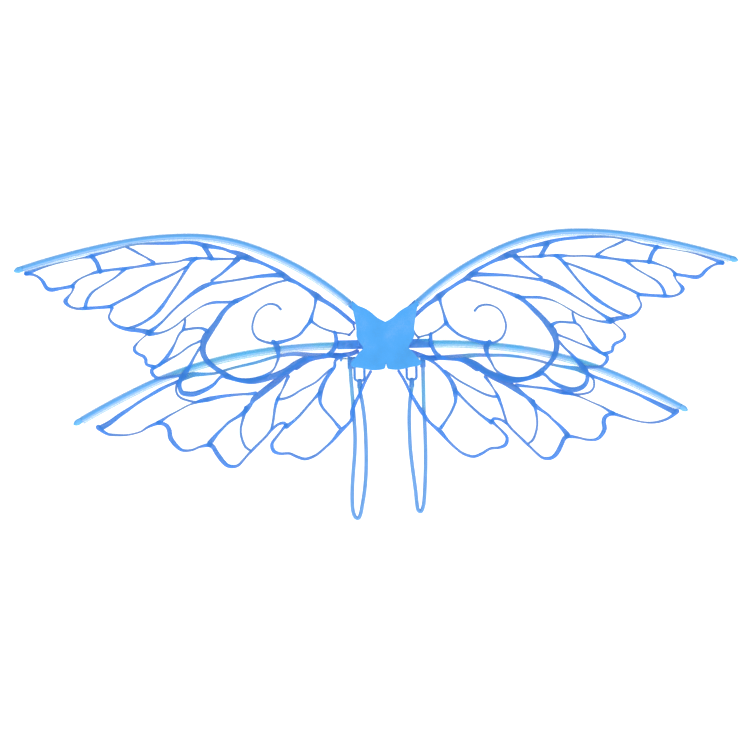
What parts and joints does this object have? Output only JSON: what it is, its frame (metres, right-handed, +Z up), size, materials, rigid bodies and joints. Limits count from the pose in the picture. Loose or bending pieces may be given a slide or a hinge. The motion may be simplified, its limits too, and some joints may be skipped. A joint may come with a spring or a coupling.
{
  "type": "fairy wings",
  "caption": "Four clear film wings with blue veins on curved rods, two hinged arms on a butterfly-covered hub, elastic shoulder straps.",
  "frame": {"origin": "middle of the back pad's face that rests on the wearer's back", "axes": "+Z up, +X to the right of someone looking at the outer side, +Y towards the wearer; the wings spread along X"},
  "size_m": [0.8728, 0.032, 0.3471],
  "materials": {
    "cover_foam": "matte EVA foam sheet, light blue",
    "hub_shell": "moulded translucent blue plastic",
    "steel": "drawn steel wire and screws",
    "pad_foam": "soft foam pad, pale blue",
    "fitting_plastic": "small moulded fittings, blue",
    "arm_plastic": "moulded translucent blue plastic",
    "plug_plastic": "moulded root plug, light blue",
    "rod_plastic": "flexible translucent rod, light blue",
    "sleeve_film": "clear blue film sleeve",
    "wing_film": "clear film with printed blue veins",
    "tip_plastic": "moulded rod tip",
    "link_plastic": "translucent blue link",
    "strap_elastic": "round braided elastic cord"
  },
  "bodies": {
    "hub": {"cover_butterfly": "cover_foam", "hub_front": "hub_shell", "hub_back": "hub_shell", "hub_screws": "steel", "back_pad": "pad_foam", "hinge_pin_left": "steel", "hinge_pin_right": "steel", "strap_bar": "steel", "bar_caps": "fitting_plastic"},
    "arm_left": {"arm_left": "arm_plastic"},
    "upper_wing_left": {"upper_plug_left": "plug_plastic", "upper_rod_left": "rod_plastic", "upper_sleeve_left": "sleeve_film", "upper_film_left": "wing_film", "upper_tip_left": "tip_plastic"},
    "lower_wing_left": {"lower_plug_left": "plug_plastic", "lower_rod_left": "rod_plastic", "lower_sleeve_left": "sleeve_film", "lower_film_left": "wing_film", "lower_tip_left": "tip_plastic"},
    "strap_left": {"strap_link_left": "link_plastic", "strap_eye_left": "fitting_plastic", "strap_tab_left": "fitting_plastic", "strap_cord_left": "strap_elastic"},
    "arm_right": {"arm_right": "arm_plastic"},
    "upper_wing_right": {"upper_plug_right": "plug_plastic", "upper_rod_right": "rod_plastic", "upper_sleeve_right": "sleeve_film", "upper_film_right": "wing_film", "upper_tip_right": "tip_plastic"},
    "lower_wing_right": {"lower_plug_right": "plug_plastic", "lower_rod_right": "rod_plastic", "lower_sleeve_right": "sleeve_film", "lower_film_right": "wing_film", "lower_tip_right": "tip_plastic"},
    "strap_right": {"strap_link_right": "link_plastic", "strap_eye_right": "fitting_plastic", "strap_tab_right": "fitting_plastic", "strap_cord_right": "strap_elastic"}
  },
  "joints": [
    {"name": "flap_left", "type": "hinge", "parent": "hub", "child": "arm_left", "pos_m": [-0.017, -0.012, 0], "axis": [0, 0, 1], "range_deg": [0, 20]},
    {"name": "upper_pull_left", "type": "slide", "parent": "arm_left", "child": "upper_wing_left", "axis": [-0.7431, 0, 0.6691], "range_m": [0, 0.018]},
    {"name": "lower_pull_left", "type": "slide", "parent": "arm_left", "child": "lower_wing_left", "axis": [-1, 0, 0], "range_m": [0, 0.018]},
    {"name": "strap_swing_left", "type": "hinge", "parent": "hub", "child": "strap_left", "pos_m": [-0.037, -0.0036, -0.022], "axis": [1, 0, 0], "range_deg": [0, 120]},
    {"name": "flap_right", "type": "hinge", "parent": "hub", "child": "arm_right", "pos_m": [0.017, -0.012, 0], "axis": [0, 0, -1], "range_deg": [0, 20]},
    {"name": "upper_pull_right", "type": "slide", "parent": "arm_right", "child": "upper_wing_right", "axis": [0.7431, 0, 0.6691], "range_m": [0, 0.018]},
    {"name": "lower_pull_right", "type": "slide", "parent": "arm_right", "child": "lower_wing_right", "axis": [1, 0, 0], "range_m": [0, 0.018]},
    {"name": "strap_swing_right", "type": "hinge", "parent": "hub", "child": "strap_right", "pos_m": [0.037, -0.0036, -0.022], "axis": [1, 0, 0], "range_deg": [0, 120]}
  ]
}
